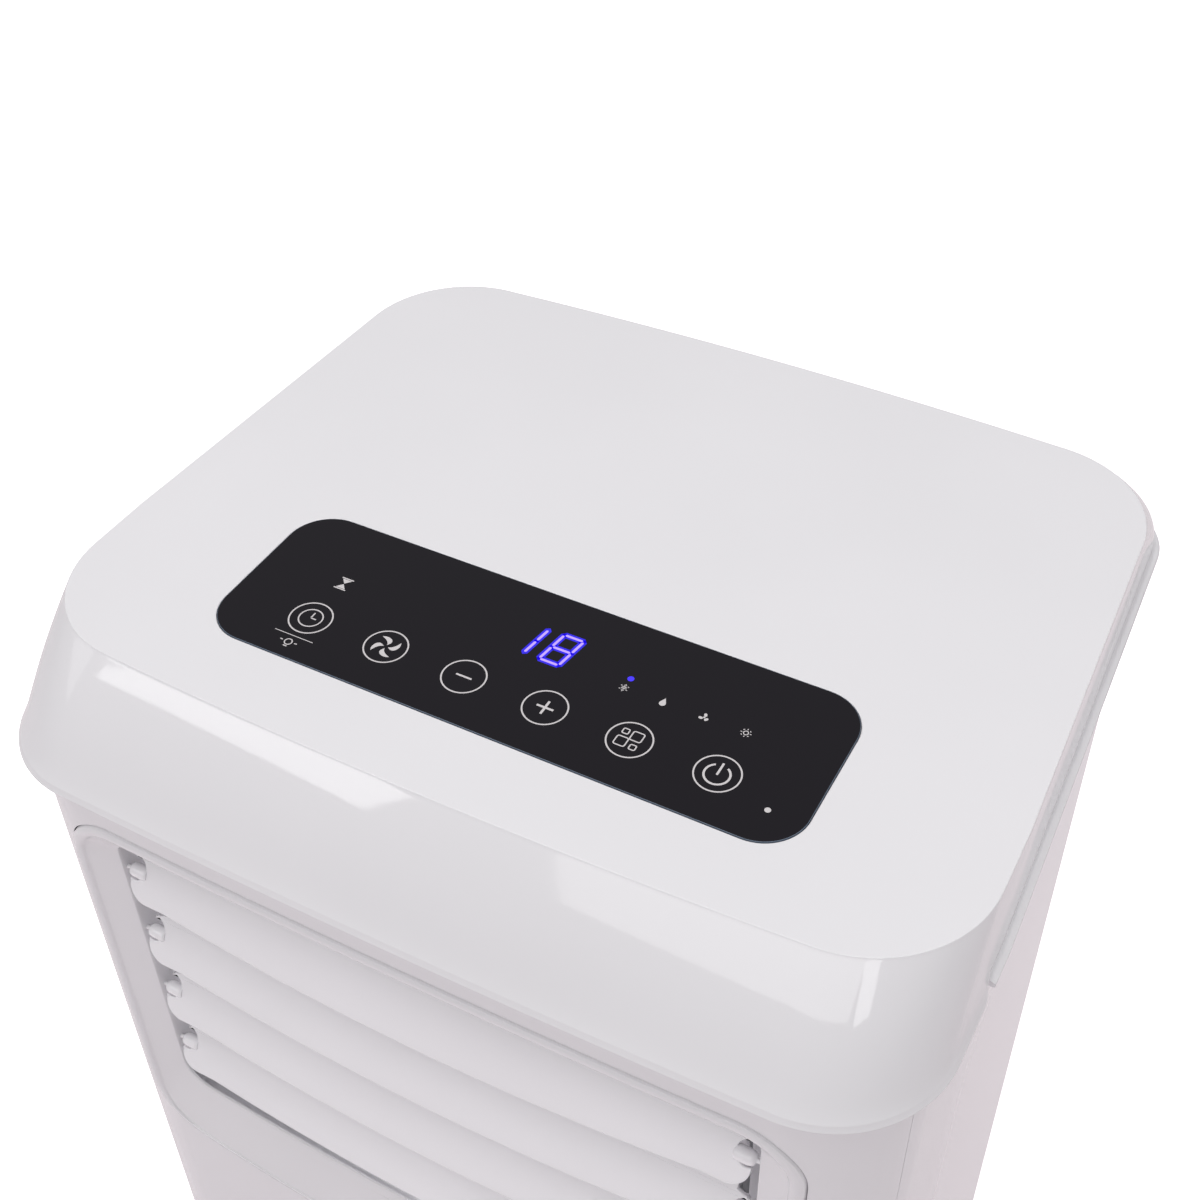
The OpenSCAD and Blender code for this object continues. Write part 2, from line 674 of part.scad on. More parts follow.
module float_switch() {
    color([0.9, 0.9, 0.85]) {
        zcyl(110, -30, floor_z, 58, 10);
        zcyl(110, -30, 58, 84, 4);
    }
}

// ---------- upper chamber ----------

module mid_tray() {
    color(white) difference() {
        union() {
            prism(rim_plan, inset + wall + 0.4, tray_z, tray_z + 3);
            difference() {
                box([-134, 84, tray_z + 2], [138, 126, tray_z + 13]);
                box([-132, 86, tray_z + 3], [136, 124, tray_z + 14]);
            }
            ycyl(upper_drain.x, body_back - 20, body_back - 3, upper_drain.y, 8);
            box([upper_drain.x - 8, body_back - 20, upper_drain.y], [upper_drain.x + 8, body_back - 3, tray_z + 1]);
        }
        box([-bezel_hw - 2, front_y, tray_z - 1], [bezel_hw + 2, bezel_back + 0.8, tray_z + 4]);
        ycyl(upper_drain.x, body_back - 17, body_back, upper_drain.y, 5 + run);
        zcyl(-143, 100, tray_z - 2, tray_z + 6, 7);
    }
}

module duct_2d(d) {
    translate(evap_fan) circle(62 + d);
    polygon([[-139.7, duct_lo - d], [-60, duct_lo - d], [evap_fan.x, evap_fan.y - 62 - d],
        [evap_fan.x, evap_fan.y + 62 + d], [-60, duct_hi + d], [-139.7, duct_hi + d]]);
}

module evaporator_scroll() {
    hw = slot_hw + 2.5;
    color(white) difference() {
        union() {
            yz(-hw, hw) difference() {
                duct_2d(2.5);
                duct_2d(0);
                translate([evap_fan.x, evap_fan.y - 50]) square([80, 120]);
            }
            for (x = [-hw, hw - 2.5]) yz(x, x + 2.5) duct_2d(2.5);
        }
        xcyl(-hw - 1, 0, evap_fan.x, evap_fan.y, 10);
        xcyl(0, hw + 1, evap_fan.x, evap_fan.y, 4 + run);
        for (x = vane_x) zcyl(x, vane_y, duct_lo - 5, duct_hi + 5, 2 + run);
    }
}

module evaporator_fan() {
    color(shade) translate([0, evap_fan.x, evap_fan.y]) rotate([0, 90, 0]) {
        for (x = [-120, -61, -1, 59, 118]) translate([0, 0, x]) cylinder(h = 2, r = 52);
        translate([0, 0, -120]) wheel_blades(24, 45, 10, 30) cube([10, 1.4, 240]);
        translate([0, 0, -143]) cylinder(h = 25, r = 4);
        translate([0, 0, 118]) cylinder(h = 11, r = 4);
    }
}

module evaporator_motor() {
    color(metal) difference() {
        xcyl(-155, -slot_hw - 2.8, evap_fan.x, evap_fan.y, 35);
        xcyl(-144, -slot_hw, evap_fan.x, evap_fan.y, 4 + run);
    }
}

// ---------- nodes ----------

top_cover();
control_glass();
touch_board();
touch_springs();
display_module();
front_panel();
louver_bezel();
louver(0);  // louver_1
louver(1);  // louver_2
louver(2);  // louver_3
louver(3);  // louver_4
louver_link();
louver_crank();
swing_motor();
air_vane(0);  // air_vane_1
air_vane(1);  // air_vane_2
air_vane(2);  // air_vane_3
air_vane(3);  // air_vane_4
air_vane(4);  // air_vane_5
vane_link();
rear_housing();
grip(-1);  // left_grip
grip(1);  // right_grip
grille(upper_open);  // upper_grille
filter(upper_open);  // upper_filter
grille(lower_open);  // lower_grille
filter(lower_open);  // lower_filter
exhaust_collar();
cord_gland();
drain_plug(upper_drain, 16);  // upper_drain_plug
drain_plug(lower_drain, 11);  // lower_drain_plug
base_pan();
castor_fork(0);  // castor_fork_1
castor_fork(1);  // castor_fork_2
castor_fork(2);  // castor_fork_3
castor_fork(3);  // castor_fork_4
castor_wheel(0);  // castor_wheel_1
castor_wheel(1);  // castor_wheel_2
castor_wheel(2);  // castor_wheel_3
castor_wheel(3);  // castor_wheel_4
compressor();
accumulator();
compressor_feet();
reversing_valve();
refrigerant_pipes();
condenser_coil();
condenser_fan();
condenser_scroll();
condenser_motor();
evaporator_coil();
evaporator_fan();
evaporator_scroll();
evaporator_motor();
mid_tray();
electrical_box();
run_capacitor();
splash_wheel();
splash_motor();
float_switch();
housing_screws();
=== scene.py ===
"""Looks of a portable air conditioner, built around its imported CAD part. Metres; the front faces -Y."""

import json
import math

import bmesh
import bpy
import numpy as np
from mathutils import Matrix, Vector


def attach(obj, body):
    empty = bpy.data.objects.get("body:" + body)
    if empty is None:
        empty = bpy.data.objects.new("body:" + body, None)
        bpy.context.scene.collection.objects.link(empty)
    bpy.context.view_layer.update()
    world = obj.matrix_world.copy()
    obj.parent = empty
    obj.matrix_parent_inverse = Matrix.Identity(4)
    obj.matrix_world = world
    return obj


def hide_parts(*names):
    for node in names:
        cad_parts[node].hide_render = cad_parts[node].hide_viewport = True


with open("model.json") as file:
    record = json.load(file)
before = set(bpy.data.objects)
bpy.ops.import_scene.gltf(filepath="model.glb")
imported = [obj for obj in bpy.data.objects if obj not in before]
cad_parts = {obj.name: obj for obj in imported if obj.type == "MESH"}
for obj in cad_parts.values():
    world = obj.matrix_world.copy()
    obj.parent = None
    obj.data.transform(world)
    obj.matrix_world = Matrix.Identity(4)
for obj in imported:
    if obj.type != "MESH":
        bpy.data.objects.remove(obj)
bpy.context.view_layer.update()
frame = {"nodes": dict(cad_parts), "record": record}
MM = 0.001
scene = bpy.context.scene

# ---------- camera ----------


LENS, SENSOR = 51.24, 36
CAMERA_AT = (0.2208, -0.4237, 1.0975)
CAMERA_FORWARD = (-0.36132, 0.64794, -0.67054)
CAMERA_RIGHT = (0.87961, 0.47547, -0.01454)


def add_camera():
    forward = Vector(CAMERA_FORWARD).normalized()
    right = Vector(CAMERA_RIGHT)
    right = (right - forward * right.dot(forward)).normalized()
    up = right.cross(forward)
    data = bpy.data.cameras.new("camera")
    data.lens, data.sensor_width = LENS, SENSOR
    data.clip_start, data.clip_end = 0.02, 60
    cam = bpy.data.objects.new("camera", data)
    scene.collection.objects.link(cam)
    cam.matrix_world = Matrix((right, up, -forward)).transposed().to_4x4()
    cam.location = CAMERA_AT
    scene.camera = cam


add_camera()

# ---------- materials ----------


class Nodes:
    """A material's node tree with short calls for adding and joining nodes."""

    def __init__(self, name):
        self.mat = bpy.data.materials.new(name)
        self.mat.use_nodes = True
        self.tree = self.mat.node_tree
        self.bsdf = self.tree.nodes["Principled BSDF"]
        self.coord = self.add("ShaderNodeTexCoord").outputs["Object"]

    def add(self, kind, **values):
        n = self.tree.nodes.new(kind)
        for k, v in values.items():
            if k in n.inputs:
                n.inputs[k].default_value = v
            else:
                setattr(n, k, v)
        return n

    def link(self, a, b):
        self.tree.links.new(a, b)

    def noise(self, scale, detail=3.0, rough=0.5):
        n = self.add("ShaderNodeTexNoise")
        n.inputs["Scale"].default_value = scale
        n.inputs["Detail"].default_value = detail
        n.inputs["Roughness"].default_value = rough
        self.link(self.coord, n.inputs["Vector"])
        return n.outputs["Fac"]

    def span(self, value, a, b, lo, hi):
        n = self.add("ShaderNodeMapRange")
        self.link(value, n.inputs["Value"])
        for k, v in (("From Min", a), ("From Max", b), ("To Min", lo), ("To Max", hi)):
            n.inputs[k].default_value = v
        return n.outputs["Result"]

    def math(self, op, a, b):
        n = self.add("ShaderNodeMath", operation=op)
        for i, v in enumerate((a, b)):
            if isinstance(v, (int, float)):
                n.inputs[i].default_value = v
            else:
                self.link(v, n.inputs[i])
        return n.outputs[0]

    def mix(self, fac, a, b):
        n = self.add("ShaderNodeMix", data_type="RGBA")
        for i, v in ((0, fac), (6, a), (7, b)):
            if isinstance(v, (int, float)):
                n.inputs[i].default_value = v
            elif isinstance(v, tuple):
                n.inputs[i].default_value = (*v, 1.0)
            else:
                self.link(v, n.inputs[i])
        return n.outputs[2]

    def bump(self, height, strength, distance):
        n = self.add("ShaderNodeBump")
        n.inputs["Strength"].default_value = strength
        n.inputs["Distance"].default_value = distance
        self.link(height, n.inputs["Height"])
        self.link(n.outputs["Normal"], self.bsdf.inputs["Normal"])


def tone(color, k):
    """The colour made k times as bright."""
    return tuple(max(0.0, min(1.0, c * k)) for c in color)


def plastic(name, color, rough, peel=0.06, peel_scale=420.0, dust=0.0, tint=0.012):
    """Moulded plastic or paint: slight colour drift, uneven gloss, a fine skin and a few specks of dust."""
    m = Nodes(name)
    drift = m.span(m.noise(9.0, 2.0), 0.3, 0.7, 0.0, 1.0)
    base = m.mix(drift, tone(color, 1 - tint), tone(color, 1 + tint))
    if dust:
        cells = m.add("ShaderNodeTexVoronoi", feature="F1")
        cells.inputs["Scale"].default_value = 62.0
        m.link(m.coord, cells.inputs["Vector"])
        speck = m.math("LESS_THAN", cells.outputs["Distance"], 0.03)
        part = m.add("ShaderNodeSeparateColor")
        m.link(cells.outputs["Color"], part.inputs[0])
        chosen = m.math("LESS_THAN", part.outputs[0], dust)
        base = m.mix(m.math("MULTIPLY", speck, chosen), base, tone(color, 0.45))
    m.link(base, m.bsdf.inputs["Base Color"])
    m.link(m.span(m.noise(38.0, 4.0, 0.6), 0.3, 0.7, rough * 0.85, rough * 1.2), m.bsdf.inputs["Roughness"])
    m.bump(m.noise(peel_scale, 2.0), peel, 0.0004)
    return m.mat


GRAIN = (30.0, 30.0, 900.0)


def metal(name, color, rough):
    """Metal with a drawn grain, uneven shine and darker patches."""
    m = Nodes(name)
    turned = m.add("ShaderNodeMapping")
    turned.inputs["Scale"].default_value = GRAIN
    m.link(m.coord, turned.inputs["Vector"])
    n = m.add("ShaderNodeTexNoise")
    n.inputs["Scale"].default_value = 1.0
    n.inputs["Detail"].default_value = 3.0
    m.link(turned.outputs["Vector"], n.inputs["Vector"])
    patches = m.span(m.noise(24.0, 4.0), 0.35, 0.7, 0.0, 1.0)
    m.link(m.mix(patches, color, tone(color, 0.8)), m.bsdf.inputs["Base Color"])
    m.link(m.span(n.outputs["Fac"], 0.25, 0.75, rough * 0.75, rough * 1.3), m.bsdf.inputs["Roughness"])
    m.bsdf.inputs["Metallic"].default_value = 1.0
    m.bump(n.outputs["Fac"], 0.15, 0.0003)
    return m.mat


def fins(name, color):
    """A pack of thin fins: upright bands of bare aluminium, with painted shade for the dark gaps between the
    fins.
    """
    m = Nodes(name)
    wave = m.add("ShaderNodeTexWave", wave_type="BANDS", bands_direction="X", wave_profile="SIN")
    wave.inputs["Scale"].default_value = 90.0
    wave.inputs["Distortion"].default_value = 0.15
    m.link(m.coord, wave.inputs["Vector"])
    deep = m.span(wave.outputs["Fac"], 0.2, 0.8, 0.0, 1.0)
    # painted shade: the gaps between the fins are darkened to 18% of the aluminium, standing in for the shade
    # inside them
    m.link(m.mix(deep, tone(color, 0.18), color), m.bsdf.inputs["Base Color"])
    m.bsdf.inputs["Metallic"].default_value = 0.85
    m.bsdf.inputs["Roughness"].default_value = 0.38
    m.bump(deep, 0.8, 0.0012)
    return m.mat


def glow(name, color, strength):
    """A lit part of the display, very slightly uneven."""
    m = Nodes(name)
    m.bsdf.inputs["Base Color"].default_value = (*tone(color, 0.3), 1)
    flicker = m.span(m.noise(700.0, 2.0), 0.3, 0.7, 0.93, 1.07)
    m.link(m.mix(flicker, tone(color, 0.9), color), m.bsdf.inputs["Emission Color"])
    m.bsdf.inputs["Emission Strength"].default_value = strength
    return m.mat


WHITE = (0.80, 0.785, 0.81)
MATS = {
    "shell_white": plastic("shell_white", WHITE, 0.05, peel=0.012, dust=0.012),
    # painted light: the blades' white is 1.14 times the housing's, a lift that offsets the shade the cover's
    # skirt and the bezel cast on them
    "louver_white": plastic("louver_white", tone(WHITE, 1.14), 0.08, peel=0.015, dust=0.01),
    "panel_glass": plastic("panel_glass", (0.0075, 0.006, 0.0095), 0.04, peel=0.01, tint=0.03),
    "board_green": plastic("board_green", (0.02, 0.16, 0.06), 0.35),
    "display_black": plastic("display_black", (0.01, 0.01, 0.012), 0.3),
    "spring_steel": metal("spring_steel", (0.62, 0.63, 0.65), 0.25),
    "motor_metal": metal("motor_metal", (0.55, 0.56, 0.58), 0.4),
    "inner_white": plastic("inner_white", (0.76, 0.76, 0.78), 0.45, peel=0.2),
    "vane_grey": plastic("vane_grey", (0.72, 0.72, 0.74), 0.45, peel=0.2),
    "filter_mesh": plastic("filter_mesh", (0.035, 0.04, 0.05), 0.6, peel=0.3, peel_scale=900.0),
    "seal_black": plastic("seal_black", (0.018, 0.018, 0.019), 0.6, peel=0.25),
    "castor_grey": plastic("castor_grey", (0.05, 0.05, 0.055), 0.38, peel=0.2),
    "wheel_grey": plastic("wheel_grey", (0.09, 0.09, 0.095), 0.5, peel=0.25),
    "compressor_black": plastic("compressor_black", (0.012, 0.012, 0.013), 0.28, peel=0.15),
    "copper_pipe": metal("copper_pipe", (0.72, 0.36, 0.2), 0.28),
    "coil_fins": fins("coil_fins", (0.7, 0.71, 0.73)),
    "box_steel": metal("box_steel", (0.5, 0.51, 0.52), 0.42),
}
ICON = plastic("icon_print", (0.62, 0.59, 0.6), 0.45, peel=0.02)
GLASS_EDGE = plastic("glass_edge", (0.1, 0.13, 0.18), 0.1, peel=0.02)
DIGIT_CORE = glow("digit_core", (0.42, 0.29, 1.0), 1.1)
DIGIT_HALO = glow("digit_halo", (0.014, 0.002, 0.75), 0.8)
LED = glow("led_blue", (0.045, 0.02, 1.0), 0.95)
DARK_GAP = plastic("dark_gap", (0.03, 0.03, 0.032), 0.7)

# ---------- mesh helpers ----------


ARC_N, BOW_N, SIDE_N = 28, 12, 10


def outline(plan, d):
    """Closed ring in mm of a plan moved inwards by d, from the middle of the front round by +X."""
    (fx, fy), fr, bow, taper_y, (rx, ry), rr, rbow = plan
    fr, rr = fr - d, rr - d
    half = [(fx * t, fy - fr - bow * (1 - t * t)) for t in np.linspace(0, 1, BOW_N, endpoint=False)]
    half += [(fx + fr * math.cos(a), fy + fr * math.sin(a)) for a in np.linspace(-math.pi / 2, 0, ARC_N)]
    taper = math.atan((fx + fr - rx - rr) / (ry - taper_y))
    a0 = (rx + rr * math.cos(taper), ry + rr * math.sin(taper))
    half += [(fx + fr, fy + (taper_y - fy) * t) for t in np.linspace(0, 1, 5)[1:]]
    half += [
        (fx + fr + (a0[0] - fx - fr) * t, taper_y + (a0[1] - taper_y) * t)
        for t in np.linspace(0, 1, SIDE_N, endpoint=False)[1:]
    ]
    half += [(rx + rr * math.cos(a), ry + rr * math.sin(a)) for a in np.linspace(taper, math.pi / 2, ARC_N)]
    half += [(rx * t, ry + rr + rbow * (1 - t * t)) for t in np.linspace(1, 0, BOW_N + 1)[1:]]
    return np.array(half + [(-x, y) for x, y in half[-2:0:-1]])


# A plan: centre and radius of the front corner, the front's bow, where the side starts to taper, centre and
# radius of the rear corner, the rear's bow.
RIM = ((131.5, -129.6), 43.5, 1.9, -83, (135.3, 123.0), 31.0, 0.0)
TOP = ((126.7, -95.9), 44.2, 3.6, -70, (120.8, 74.3), 44.2, 3.7)


def circle(cx, cy, r, n):
    """Ring of n points of a circle, anticlockwise from +X."""
    turns = [2 * math.pi * i / n for i in range(n)]
    return [(cx + r * math.cos(a), cy + r * math.sin(a)) for a in turns]


def rounded(w, h, r, n=14):
    """Closed ring of a rounded rectangle about the origin, anticlockwise."""
    pts = []
    for k, (sx, sy) in enumerate(((1, 1), (-1, 1), (-1, -1), (1, -1))):
        c = (sx * (w / 2 - r), sy * (h / 2 - r))
        for a in np.linspace(k * 90, k * 90 + 90, n):
            pts.append((c[0] + r * math.cos(math.radians(a)), c[1] + r * math.sin(math.radians(a))))
    return np.array(pts)


def place(xy, z):
    """The flat ring xy at height z."""
    return np.column_stack([xy, np.full(len(xy), float(z))])


class Mesh:
    """Collects rings in mm and joins them into one closed mesh."""

    def __init__(self):
        self.bm = bmesh.new()

    def ring(self, pts):
        """New vertices at the points."""
        return [self.bm.verts.new(Vector(p) * MM) for p in pts]

    def bridge(self, a, b):
        """A closed strip of quads between two rings of vertices."""
        for i in range(len(a)):
            j = (i + 1) % len(a)
            self.bm.faces.new((a[i], a[j], b[j], b[i]))

    def loft(self, rings, loop=False, cap=False):
        """Skin over the rings, joined end to end with loop or closed with a face at each end with cap."""
        made = [self.ring(r) for r in rings]
        for a, b in zip(made, made[1:]):
            self.bridge(a, b)
        if loop:
            self.bridge(made[-1], made[0])
        if cap:
            self.bm.faces.new(made[0][::-1])
            self.bm.faces.new(made[-1])
        return made

    def fill(self, *rings):
        """Flat face inside one ring of vertices, or between two."""
        edges = []
        for r in rings:
            for i in range(len(r)):
                e = self.bm.edges.get((r[i - 1], r[i]))
                edges.append(e or self.bm.edges.new((r[i - 1], r[i])))
        bmesh.ops.triangle_fill(self.bm, use_beauty=True, use_dissolve=False, edges=edges)

    def object(self, name, mat, angle=32.0):
        """The finished object, with edges sharper than the angle kept sharp."""
        bmesh.ops.remove_doubles(self.bm, verts=self.bm.verts, dist=1e-7)
        bmesh.ops.recalc_face_normals(self.bm, faces=self.bm.faces)
        mesh = bpy.data.meshes.new(name)
        self.bm.to_mesh(mesh)
        self.bm.free()
        obj = bpy.data.objects.new(name, mesh)
        scene.collection.objects.link(obj)
        mesh.materials.append(mat)
        shade(obj, angle)
        return obj


def shade(obj, angle=32.0):
    """Smooth shading with sharp edges over the angle."""
    bm = bmesh.new()
    bm.from_mesh(obj.data)
    for f in bm.faces:
        f.smooth = True
    for e in bm.edges:
        if len(e.link_faces) == 2:
            e.smooth = e.calc_face_angle(0.0) < math.radians(angle)
    bm.to_mesh(obj.data)
    bm.free()
    if "even" not in obj.modifiers:
        even = obj.modifiers.new("even", "WEIGHTED_NORMAL")
        even.keep_sharp = True
        even.weight = 80


def apply_all(obj):
    """Bakes the modifiers into the mesh."""
    graph = bpy.context.evaluated_depsgraph_get()
    mesh = bpy.data.meshes.new_from_object(obj.evaluated_get(graph))
    obj.modifiers.clear()
    obj.data = mesh


def cut(obj, cutters):
    """Takes the cutters' volumes out of obj."""
    for c in cutters:
        m = obj.modifiers.new("cut", "BOOLEAN")
        m.operation, m.solver, m.object = "DIFFERENCE", "EXACT", c
    obj.modifiers.remove(obj.modifiers["even"])
    apply_all(obj)
    for c in cutters:
        bpy.data.objects.remove(c)
    shade(obj)


def slab(pts, lo, hi, edge, steps=3):
    """Rings of a prism with rounded edges: pts(d) gives its outline moved inwards by d."""
    rings = []
    for k in range(steps + 1):
        a = math.pi / 2 * k / steps
        rings.append((edge * (1 - math.sin(a)), lo + edge * (1 - math.cos(a))))
    for k in range(steps + 1):
        a = math.pi / 2 * (1 - k / steps)
        rings.append((edge * (1 - math.sin(a)), hi - edge * (1 - math.cos(a))))
    return [(pts(d), z) for d, z in rings]


def done(obj, body, slot, *nodes):
    """Hands the piece over to the frame: its body and the CAD nodes it stands in for. The slot is not used.
    """
    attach(obj, body)
    if nodes:
        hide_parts(*nodes)
    return obj


# ---------- top cover ----------

WALL = 2.5                         # thickness of the moulded shells
LEDGE, TOP_Z = 658.5, 699.9        # foot and top of the cover
SKIRT_Z = 661.3                    # where the skirt starts above its lip
SKIRT_IN = 3.0                     # the skirt's foot, inwards from the rim
NOTCH_Y = -97.2                    # the lip and bead end here, and the housing's ledge begins
GLASS_C, GLASS = (0.0, -78.8), (221.0, 69.8, 16.0)
# The lip's section: inwards from the rim, up from the foot.
LIP = (
    (0.5, 0.05), (0.2, 0.2), (0.08, 0.5), (0.16, 0.8), (0.34, 1.05),
    (0.52, 1.35), (0.76, 1.8), (0.98, 2.3), (1.13, 2.65),
)
# Heights of the skirt's sections, closer together where it curves more.
SKIRT_LEVELS = (
    SKIRT_Z, 661.6, 662.0, 662.5, 663.4, 664.5, 666, 668.5, 672,
    676, 680, 684, 688, 692, 695, 697.2, 698.6, 699.4,
)


def in_front(ring):
    """1 for the points in front of the notch, where the cover's skirt has its bead, and 0 behind it."""
    return (ring[:, 1] < NOTCH_Y).astype(float)[:, None]


def cover_ring(z, inner=0.0):
    """Skirt section at height z: convex from rim to top edge, with a flare into the bead at its foot."""
    h = (z - SKIRT_Z) / (700 - SKIRT_Z)
    h = min(max(h, -0.07), 1.0)
    w = h - 0.34 * h * (1 - h)
    base = outline(RIM, SKIRT_IN + inner)
    up = max(z - SKIRT_Z, 0)
    flare = 1.0 * math.exp(-up / 3.0) + 0.8 * math.exp(-up / 14) if inner == 0 else 0
    foot = base + (outline(RIM, SKIRT_IN - flare + inner) - base) * in_front(base)
    return foot + (outline(TOP, inner) - base) * w


def top_cover():
    m = Mesh()
    rings = []
    base = outline(RIM, SKIRT_IN)
    rings.append(place(outline(RIM, 5.2), LEDGE + 0.05))
    for d, up in LIP:
        rings.append(place(base + (outline(RIM, d) - base) * in_front(base), LEDGE + up))
    for z in SKIRT_LEVELS:
        rings.append(place(cover_ring(z), z))
    edge_r = 0.4
    last = cover_ring(TOP_Z - edge_r)
    inward = (outline(TOP, 1.2) - outline(TOP, 0)) / 1.2
    for a in np.linspace(0, math.pi / 2, 5)[1:]:
        inset = edge_r * (1 - math.cos(a))
        rings.append(place(last + inward * inset, TOP_Z - edge_r + edge_r * math.sin(a)))
    made = m.loft(rings)
    gw, gd, gr = GLASS
    hole = rounded(gw + 0.6, gd + 0.6, gr + 0.3, 16) + GLASS_C
    seat = rounded(196, 49, 6, 16) + GLASS_C
    flange = rounded(226, 75, 20, 16) + GLASS_C
    wide = rounded(gw + 1.2, gd + 1.2, gr + 0.6, 16) + GLASS_C
    steps = [(wide, TOP_Z), (hole, TOP_Z - 0.25), (hole, 698), (seat, 698), (seat, 695.2)]
    steps += [(flange, 695.2), (flange, 697)]
    recess = m.loft([place(ring, z) for ring, z in steps])
    m.fill(made[-1], recess[0])
    wall = [place(cover_ring(z, WALL), z) for z in (690, 675, 662)]
    inner = m.loft([place(outline(TOP, 4.0), 697)] + wall + [place(outline(RIM, 5.5), LEDGE + 0.3)])
    m.fill(recess[-1], inner[0])
    m.bridge(inner[-1], made[0])
    return done(m.object("top_cover_shell", MATS["shell_white"], 40), "unit", "shell_white", "top_cover")


top_cover()

# ---------- control panel ----------


def glass():
    """The dark glass with its thin bevelled edge, which looks bluish."""
    m = Mesh()
    w, depth, r = GLASS
    levels = slab(lambda d: rounded(w - 2 * d, depth - 2 * d, r - d, 18) + GLASS_C, 698.1, 699.97, 0.2)
    m.loft([place(p, z) for p, z in levels], cap=True)
    obj = m.object("control_glass_panel", MATS["panel_glass"], 60)
    obj.data.materials.append(GLASS_EDGE)
    for p in obj.data.polygons:
        upper_side = abs(p.normal.z) < 0.3 and p.center.z > 0.699
        if 0.3 < p.normal.z < 0.97 or upper_side:
            p.material_index = 1
    return done(obj, "unit", "panel_glass", "control_glass")


glass()
INK_Z, INK_T = 699.975, 0.02       # top and thickness of the print
HALO_Z, LIGHT_Z = 699.972, 699.985
KEY_PITCH, KEYS = 30.976, 6
KEY_X = [KEY_PITCH * (i - (KEYS - 1) / 2) for i in range(KEYS)]
KEY_Y = -93.6                      # middle of the row of touch keys
MARK_Y = -73.7                     # middle of the row of signs
KEY_R, LINE_W = 7.9, 0.55


class Ink:
    """Flat printed shapes on the glass, in mm about a key's centre."""

    def __init__(self, name, mat, z=INK_Z):
        self.m, self.name, self.mat, self.z = Mesh(), name, mat, z

    def shape(self, pts):
        self.m.loft([place(np.array(pts), self.z - INK_T), place(np.array(pts), self.z)], cap=True)

    def band(self, outer, inner):
        low = self.z - INK_T
        sides = ((outer, self.z), (inner, self.z), (inner, low), (outer, low))
        self.m.loft([place(np.array(r), z) for r, z in sides], loop=True)

    def disc(self, c, r, n=32):
        self.shape(circle(*c, r, n))

    def ring(self, c, r, w, n=72):
        self.band(circle(*c, r, n), circle(*c, r - w, n))

    def arc(self, c, r, w, a0, a1, n=40):
        t = [math.radians(a0 + (a1 - a0) * i / n) for i in range(n + 1)]
        out = [(c[0] + r * math.cos(a), c[1] + r * math.sin(a)) for a in t]
        inn = [(c[0] + (r - w) * math.cos(a), c[1] + (r - w) * math.sin(a)) for a in t[::-1]]
        self.shape(out + inn)

    def bar(self, c, w, h, r=0.2, turn=0.0):
        a = math.radians(turn)
        p = rounded(w, h, min(r, w / 2.01, h / 2.01), 5)
        rot = np.array([[math.cos(a), math.sin(a)], [-math.sin(a), math.cos(a)]])
        self.shape(p @ rot + np.array(c))

    def frame_box(self, c, w, r, t=0.45):
        self.band(rounded(w, w, r, 6) + c, rounded(w - 2 * t, w - 2 * t, max(r - t, 0.05), 6) + c)

    def object(self):
        o = self.m.object(self.name, self.mat, 30)
        return done(o, "unit", "panel_glass")


def icons():
    """The six touch keys: clock, fan, minus, plus, mode and power, and a small dot beside them."""
    k = Ink("key_icons", ICON)
    for x in KEY_X:
        k.ring((x, KEY_Y), KEY_R, LINE_W)
    x = KEY_X[0]
    k.ring((x, KEY_Y), 4.5, 0.5)
    k.bar((x, KEY_Y + 1.3), 0.5, 3.0)
    k.bar((x + 1.0, KEY_Y), 2.4, 0.5)
    x = KEY_X[1]
    for tip in (45, 135, 225, 315):
        pts = []
        for bulge, ts in ((0.0, np.linspace(0, 1, 14)), (40.0, np.linspace(1, 0, 14))):
            for t in ts:
                r = 0.8 + 4.6 * t
                turn = math.radians(tip - 42 * (1 - t) ** 1.3 - bulge * math.sin(math.pi * t**0.9) ** 0.8)
                pts.append((x + r * math.cos(turn), KEY_Y + r * math.sin(turn)))
        k.shape(pts)
    k.bar((KEY_X[2], KEY_Y), 6.0, 0.75, 0.1)
    x = KEY_X[3]
    k.bar((x, KEY_Y), 6.2, 0.85, 0.1)
    for s in (-1, 1):
        k.bar((x, KEY_Y + s * 1.78), 0.85, 2.7, 0.1)
    x = KEY_X[4]
    k.frame_box((x - 2.75, KEY_Y + 2.9), 2.6, 0.7)
    k.frame_box((x + 1.65, KEY_Y + 2.2), 4.4, 0.9)
    k.frame_box((x - 2.3, KEY_Y - 1.6), 4.4, 0.9)
    k.frame_box((x + 2.35, KEY_Y - 2.5), 2.6, 0.7)
    x = KEY_X[5]
    k.arc((x, KEY_Y - 0.4), 4.6, 0.75, 120, 420)
    k.bar((x, KEY_Y + 2.1), 0.75, 5.4, 0.2)
    k.disc((97.4, -100.0), 1.05)
    k.object()


